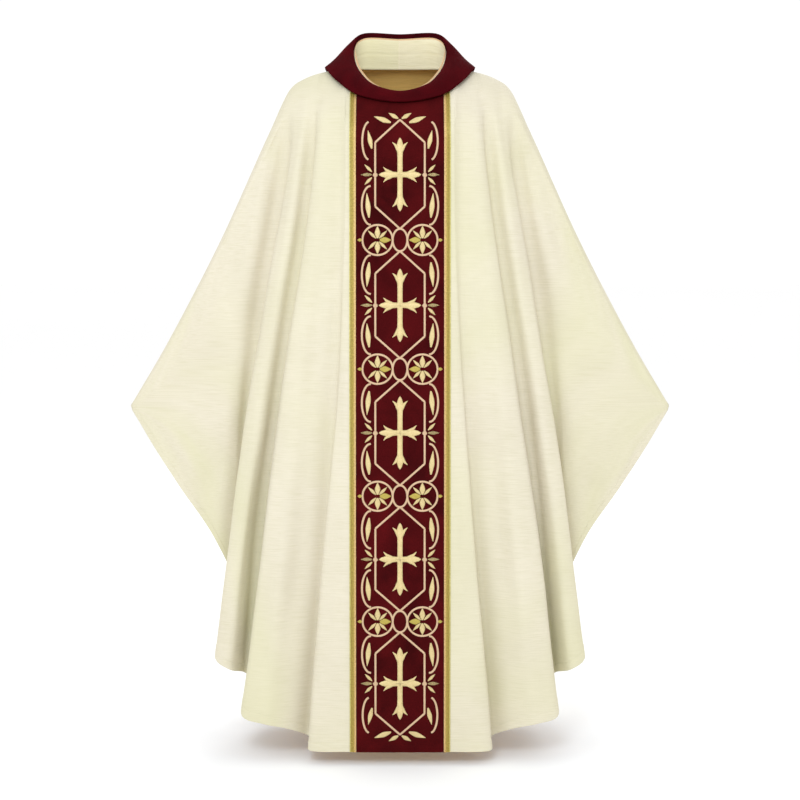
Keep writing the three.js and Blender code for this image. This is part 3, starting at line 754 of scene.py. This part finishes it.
front = dressed(FRONT_LINES, -1, FRONT_FOLDS, FRONT_CREASES, 3)
back = dressed(BACK_LINES, 1, BACK_FOLDS, BACK_CREASES, 8)
front_normals = grid_normals(front, -1)
back_normals = grid_normals(back, 1)

# Inner faces of both panels take the painted-shade golden tan
front_piece = shell("front_cloth", front, front - front_normals * CLOTH, cloth_uv(front), (CREAM, INSIDE_PAINTED_SHADE),
                    ("front_panel",))
back_piece = shell("back_cloth", back, back - back_normals * CLOTH, cloth_uv(back), (CREAM, INSIDE_PAINTED_SHADE),
                   ("back_panel",), flip=True)


def column_at(x):
    return int(np.abs(front[-1, :, 0] - x).argmin())


def strip(first, last, thick, rows, columns):
    """A strip laid on the front between two columns, with its cells cut finer: its top points, its
    base and its normals."""
    part = refine(front[:, first:last + 1], rows, columns)
    normals = refine(front_normals[:, first:last + 1], rows, columns)
    normals /= np.linalg.norm(normals, axis=-1, keepdims=True)
    for edge, beside in ((0, 1), (-1, -2)):
        step = part[:, beside] - part[:, edge]
        part[:, edge] += step / np.linalg.norm(step, axis=-1, keepdims=True) * SEAM_GAP / 2
    return part + normals * (SEAM_GAP + thick), part + normals * SEAM_GAP, normals


def orphrey():
    top, base, _ = strip(column_at(-VELVET_HALF), column_at(VELVET_HALF), VELVET, 1, 2)
    return shell("orphrey_velvet", top, base, cloth_uv(top), (BAND_VELVET,), ("orphrey",))


def galloon(name, first, last, node, from_velvet):
    """Braid with a cord along each edge and a herringbone of ribs between them."""
    top, base, normals = strip(first, last, GALLOON - BRAID_RELIEF["room"], 5, 6)
    across = length_along(top, 1)
    u = across / across[:, -1:]
    if not from_velvet:
        u = 1 - u
    v = length_along(top, 0)
    v = v[-1:] - v
    cords = sum(size * np.exp(-((u - place) / width)**2) for place, width, size in BRAID_CORDS)
    zigzag = np.abs(np.mod(u, BRAID_RIBS["period"]) - BRAID_RIBS["period"] / 2)
    ribs = np.cos(2 * np.pi * (v / BRAID_RIBS["pitch"] + BRAID_RIBS["slant"] * zigzag))
    height = BRAID_RELIEF["cord"] * cords + BRAID_RELIEF["rib"] * ribs * (1 - np.minimum(cords, 1))
    top = top + normals * height[..., None]
    uv = np.stack([u, v * MM], axis=-1)
    return shell(name, top, base, uv, (BRAID,), (node,))


orphrey_piece = orphrey()
galloon_pieces = (
    galloon("galloon_left_braid", column_at(-BAND_HALF), column_at(-VELVET_HALF), "galloon_left", False),
    galloon("galloon_right_braid", column_at(VELVET_HALF), column_at(BAND_HALF), "galloon_right", True),
)

# Depth of the front over the band, from the hem to the neck, for placing the embroidery
BAND_FOOT = -1237
BAND_TOP = -66
BAND_LEVELS = 900
band_columns = slice(column_at(-VELVET_HALF), column_at(VELVET_HALF) + 1)
band_x = front[-1, band_columns, 0]
band_z = np.linspace(BAND_FOOT, BAND_TOP, BAND_LEVELS)
band_y = np.stack([np.interp(band_z, front[::-1, c, 2], front[::-1, c, 1])
                   for c in range(band_columns.start, band_columns.stop)], axis=1)


def depth_at(x, z):
    c = np.clip(np.searchsorted(band_x, x) - 1, 0, len(band_x) - 2)
    cs = np.clip((x - band_x[c]) / (band_x[c + 1] - band_x[c]), 0, 1)
    place = np.clip((z - band_z[0]) / (band_z[1] - band_z[0]), 0, len(band_z) - 1.001)
    r = place.astype(int)
    rs = place - r
    low = band_y[r, c] * (1 - cs) + band_y[r, c + 1] * cs
    high = band_y[r + 1, c] * (1 - cs) + band_y[r + 1, c + 1] * cs
    return low * (1 - rs) + high * rs


def on_band(x, z, lift):
    """Points over the velvet at places on the band, lifted off it."""
    reach = 2.5
    slope_x = (depth_at(x + reach, z) - depth_at(x - reach, z)) / (2 * reach)
    slope_z = (depth_at(x, z + reach) - depth_at(x, z - reach)) / (2 * reach)
    normal = np.stack([slope_x, -np.ones_like(slope_x), slope_z], axis=-1)
    normal /= np.linalg.norm(normal, axis=-1, keepdims=True)
    point = np.stack([x, depth_at(x, z), z], axis=-1)
    return point + normal * (lift + SEAM_GAP + VELVET)[..., None]


# Cross section of a raised stroke: place across it and height
CROWN = ((-1, 0), (-0.82, 0.52), (-0.45, 0.88), (0, 1), (0.45, 0.88), (0.82, 0.52), (1, 0))
VEINED = ((-1, 0), (-0.8, 0.62), (-0.42, 1), (0, 0.6), (0.42, 1), (0.8, 0.62), (1, 0))
SUNK = -0.5


class Embroidery:
    """Raised strokes that are gathered into one piece."""

    def __init__(self):
        self.points, self.faces, self.uv, self.count = [], [], [], 0

    def stroke(self, path, height, profile=CROWN):
        """A stroke along a path of (x, z, half width)."""
        path = np.asarray(path, float)
        chords = np.linalg.norm(np.diff(path[:, :2], axis=0), axis=1)
        cuts = np.maximum(np.ceil(chords / STITCH_STEP), 2).astype(int)
        gap = np.concatenate([np.full(n, k) for k, n in enumerate(cuts)] + [[len(cuts) - 1]])
        share = np.concatenate([np.arange(n) / n for n in cuts] + [[1.0]])
        fine = through(np.insert(path, 2, 0, axis=1), gap, share)
        line, half = fine[:, :2], np.maximum(fine[:, 3], THINNEST_HALF)
        along = np.gradient(line, axis=0)
        along /= np.linalg.norm(along, axis=1, keepdims=True)
        across = np.stack([along[:, 1], -along[:, 0]], axis=1)
        low = [(-1, SUNK)] + list(profile[1:-1]) + [(1, SUNK)]
        out = np.array([p[0] for p in low])
        up = np.array([p[1] for p in low])
        tall = height * np.clip(half / FULL_HEIGHT_HALF, LEAST_RISE, 1)
        x = line[:, 0:1] + across[:, 0:1] * half[:, None] * out
        z = line[:, 1:2] + across[:, 1:2] * half[:, None] * out
        lift = np.where(up < 0, up, up * tall[:, None])
        rows, columns = x.shape
        distance = np.concatenate([[0], np.cumsum(np.linalg.norm(np.diff(line, axis=0), axis=1))])
        self.points.append(on_band(x, z, lift).reshape(-1, 3))
        u = np.broadcast_to(out, (rows, columns)) * half[:, None]
        v = np.broadcast_to(distance[:, None], (rows, columns)) + STITCH_SLANT * u
        self.uv.append(np.stack([u, v], axis=-1).reshape(-1, 2) * MM)
        top = quads(rows, columns, self.count)
        r = np.arange(rows - 1) * columns + self.count
        under = np.stack([r, r + columns - 1, r + 2 * columns - 1, r + columns], -1)
        ends = []
        for base in (0, (rows - 1) * columns):
            for k in range(1, columns // 2):
                ring = [base + k - 1, base + k, base + columns - 1 - k, base + columns - k]
                ends.append(ring if base else ring[::-1])
        self.faces.append(np.concatenate([top, under, np.array(ends) + self.count]))
        self.count += rows * columns

    def piece(self, name, material, nodes=()):
        points = np.concatenate(self.points)
        return make_object(name, points, np.concatenate(self.faces), np.concatenate(self.uv), (material,),
                           nodes)


def mapped(chart, side, start, grade):
    """A chart's points on the band: its x on one side, and its y from a height, up or down."""
    return [(side * x, start + grade * y, half) for x, y, half in chart]


frames, knots, scrolls, leaves, buds = (Embroidery() for _ in range(5))


def half_cell(knot, centre):
    """Everything between the middle of a knot and the middle of the cross next to it."""
    grade = (centre - knot) / HALF_CELL
    for side in (-1, 1):
        for chart in FRAME_STROKES:
            frames.stroke(mapped(chart, side, knot, grade), THREAD)
        for chart in KNOT_STROKES:
            knots.stroke(mapped(chart, side, knot, grade), THREAD)
        scrolls.stroke(mapped(SCROLL_STROKE, side, knot, grade), THREAD)
        for chart in KNOT_LEAVES + SIDE_LEAVES:
            leaves.stroke(mapped(chart, side, knot, grade), PATCH, VEINED)


def knot_middle(knot):
    for side in (-1, 1):
        for chart in KNOT_BUDS:
            buds.stroke(mapped(chart, side, knot, 1), PATCH, VEINED)


def end_cell(centre, outward, squeeze):
    """The end of the band beyond its first or last cross."""
    grade = outward * squeeze
    for side in (-1, 1):
        far = centre + grade * HALF_CELL
        for chart in FRAME_STROKES:
            frames.stroke(mapped(chart, side, far, -grade), THREAD)
        for chart in SIDE_LEAVES[1:]:
            leaves.stroke(mapped(chart, side, far, -grade), PATCH, VEINED)
        scrolls.stroke(mapped(END_SCROLL, side, centre, grade), THREAD)
        for chart in END_LEAVES:
            leaves.stroke(mapped(chart, side, centre, grade), PATCH, VEINED)


def cross(number, height):
    """Four arms from the middle, each with a pointed end and two barbs."""
    stitches = Embroidery()
    for quarter in range(4):
        reach = CROSS_REACH[quarter % 2]
        turn = (0, 1, 0, -1)[quarter], (1, 0, -1, 0)[quarter]

        def placed(out, along):
            return (turn[1] * out + turn[0] * along, height - turn[0] * out + turn[1] * along)

        arm = [CROSS_MIDDLE] + [(reach + along, half) for along, half in CROSS_ARM]
        stitches.stroke([(*placed(0, along), half) for along, half in arm], PATCH)
        for side in (-1, 1):
            barb = [(*placed(side * out, reach + along), half) for out, along, half in CROSS_BARB]
            stitches.stroke(barb, PATCH)
    return stitches.piece(f"cross_{number}_stitched", GOLD, (f"cross_{number}",))


KNOT_HEIGHTS = [(a + b) / 2 for a, b in zip(CROSS_HEIGHTS, CROSS_HEIGHTS[1:])]
for knot, above, below in zip(KNOT_HEIGHTS, CROSS_HEIGHTS, CROSS_HEIGHTS[1:]):
    half_cell(knot, above)
    half_cell(knot, below)
    knot_middle(knot)
end_cell(CROSS_HEIGHTS[0], 1, 1)
end_cell(CROSS_HEIGHTS[-1], -1, BOTTOM_SCALE)
for height in CROSS_HEIGHTS:
    for side in (-1, 1):
        frames.stroke(mapped(BEAD, side, height, 1), PATCH)

cross_pieces = [cross(k + 1, height) for k, height in enumerate(CROSS_HEIGHTS)]
thread_pieces = [
    frames.piece("frame_threads", THREAD_CREAM),
    knots.piece("knot_threads", THREAD_CREAM),
    scrolls.piece("scroll_threads", THREAD_CREAM),
    leaves.piece("leaf_stitches", GOLD),
    buds.piece("bud_stitches", YELLOW),
]


def neck_curve(column):
    half = np.array([ring[column] for ring in NECK_RINGS], float)
    whole = np.concatenate([half, half[-2:0:-1] * (-1, 1, 1)])
    place = np.arange(len(whole) * RING_CUTS) / RING_CUTS
    return through(whole, place.astype(int), place % 1, closed=True)


def neck_values(column):
    half = [ring[column] for ring in NECK_RINGS]
    whole = half + half[-2::-1]
    return between(np.arange(len(whole)), whole, np.arange((len(whole) - 1) * RING_CUTS) / RING_CUTS)


fold_ring, edge_ring = neck_curve(0), neck_curve(1)
neck_base = on_neckline(fold_ring)
rim_heights, bulges = neck_values(2), neck_values(3)
away = (edge_ring - fold_ring) * (1, 1, 0)
away /= np.linalg.norm(away, axis=1, keepdims=True)


def thicken(path, thick):
    """Closed outlines from paths, [ring, point, axis]: the path, and back on the path moved out."""
    side = np.cross(away, (0, 0, 1))
    side /= np.linalg.norm(side, axis=1, keepdims=True)
    along = np.empty_like(path)
    along[:, 1:-1] = path[:, 2:] - path[:, :-2]
    along[:, 0], along[:, -1] = path[:, 1] - path[:, 0], path[:, -1] - path[:, -2]
    out = np.cross(along, side[:, None])
    out /= np.linalg.norm(out, axis=-1, keepdims=True)
    return np.concatenate([path, (path + out * thick)[:, ::-1]], axis=1)


def collar():
    gap = BAND_CLOTH / 2 + COLLAR_GAP
    fold = fold_ring + away * gap
    to_base = neck_base - fold_ring
    reach = np.linalg.norm(to_base, axis=1, keepdims=True)
    leg = fold + to_base * np.minimum(COLLAR_LEG["long"] / reach, COLLAR_LEG["share"])
    rolled = fold + away * COLLAR_ROLL["out"]
    rolled[:, 2] += COLLAR_ROLL["up"]
    over = edge_ring + (fold - edge_ring) * COLLAR_CROWN
    over[:, 2] += bulges
    s = np.linspace(0, 1, FALL_CUTS + 1)[None, :, None]
    fall = ((1 - s)**3 * fold[:, None] + 3 * (1 - s)**2 * s * rolled[:, None]
            + 3 * (1 - s) * s**2 * over[:, None] + s**3 * edge_ring[:, None])
    rise = np.linspace(0, 1, COLLAR_LEG["cuts"] + 1)[None, :-1, None]
    path = np.concatenate([leg[:, None] + (fold - leg)[:, None] * rise, fall], axis=1)
    sections = thicken(path, COLLAR_CLOTH)
    round_neck = length_along(np.concatenate([edge_ring, edge_ring[:1]]), 0)[:-1]
    down = length_along(path, 1)
    u = np.broadcast_to(round_neck[:, None], down.shape)
    half_uv = np.stack([u, down], axis=-1) * MM
    uv = np.concatenate([half_uv, half_uv[:, ::-1]], axis=1)
    return tube("collar_velvet_roll", sections, uv, (COLLAR_VELVET,), ("collar",))


def neckband():
    base = neck_base.copy()
    base[:, 2] += NECKBAND_SEAT["up"]
    base -= away * (NECKBAND_SEAT["inward"] + BAND_CLOTH / 2)
    rise = fold_ring - base
    rise /= np.linalg.norm(rise, axis=1, keepdims=True)
    base[:, 2] -= NECKBAND_TURNING
    top = fold_ring + rise * rim_heights[:, None]
    s = np.linspace(0, 1, NECKBAND_CUTS + 1)
    line = base[:, None] + (top - base)[:, None] * s[None, :, None]
    half = BAND_CLOTH / 2
    puffed = half + NECKBAND_PUFF * np.sin(np.pi * s)
    for place, width, height in NECKBAND_LINES:
        puffed += height * np.exp(-((s - place) / width)**2)
    rolled = np.interp(s, *NECKBAND_RIM)
    inside = line - away[:, None] * (puffed * rolled)[None, :, None]
    outside = line + away[:, None] * (half * NECKBAND_OUTER * rolled)[None, :, None]
    sections = np.concatenate([inside, outside[:, ::-1]], axis=1)
    round_neck = length_along(np.concatenate([fold_ring, fold_ring[:1]]), 0)[:-1]
    down = length_along(line, 1)
    down = down[:, -1:] - down
    half_uv = np.stack([np.broadcast_to(round_neck[:, None], down.shape), down], axis=-1) * MM
    uv = np.concatenate([half_uv, half_uv[:, ::-1]], axis=1)
    return tube("neckband_cloth", sections, uv, (NECK_CREAM,), ("neckband",))


collar_piece = collar()
neckband_piece = neckband()


# Studio, in metres: the light of its white walls, its floor, what the lamps point at, and the camera
WALL_LIGHT = 1.04
FLOOR = {"height": -1.262, "radius": 60, "sides": 96}
LAMP_TARGET = (0, 0, -0.6)
CAMERA = {"place": (0, -3.3895, -0.3502), "tilt": 85.5, "lens": 81.4, "sensor": 36}


def area_light(name, place, size, power, colour):
    light = bpy.data.lights.new(name, "AREA")
    light.shape = "DISK"
    light.size = size
    light.energy = power
    light.color = colour
    obj = bpy.data.objects.new(name, light)
    bpy.context.scene.collection.objects.link(obj)
    obj.location = place
    way = np.array(LAMP_TARGET, float) - np.array(place, float)
    level = math.hypot(way[0], way[1])
    obj.rotation_euler = (math.atan2(level, -way[2]), 0, math.atan2(-way[0], way[1]))


def studio():
    world = bpy.data.worlds.new("white_studio")
    world.use_nodes = True
    walls = world.node_tree.nodes["Background"]
    walls.inputs["Color"].default_value = (1, 1, 1, 1)
    walls.inputs["Strength"].default_value = WALL_LIGHT
    bpy.context.scene.world = world
    bpy.ops.mesh.primitive_circle_add(vertices=FLOOR["sides"], radius=FLOOR["radius"], fill_type="NGON",
                                      location=(0, 0, FLOOR["height"]))
    floor = bpy.context.object
    floor.name = "studio_floor"
    floor.data.materials.append(floor_material())
    area_light("key", (-0.5, -3.9, 1.5), 1.3, 75, (0.8, 0.9, 1))
    area_light("back_fill", (0.6, 3.9, 1.6), 1.6, 45, (0.88, 0.94, 1))
    camera = bpy.data.cameras.new("camera")
    camera.lens = CAMERA["lens"]
    camera.sensor_width = CAMERA["sensor"]
    view = bpy.data.objects.new("camera", camera)
    view.location = CAMERA["place"]
    view.rotation_euler = (math.radians(CAMERA["tilt"]), 0, 0)
    bpy.context.scene.collection.objects.link(view)
    bpy.context.scene.camera = view
    bpy.context.scene.view_settings.view_transform = "Standard"


studio()
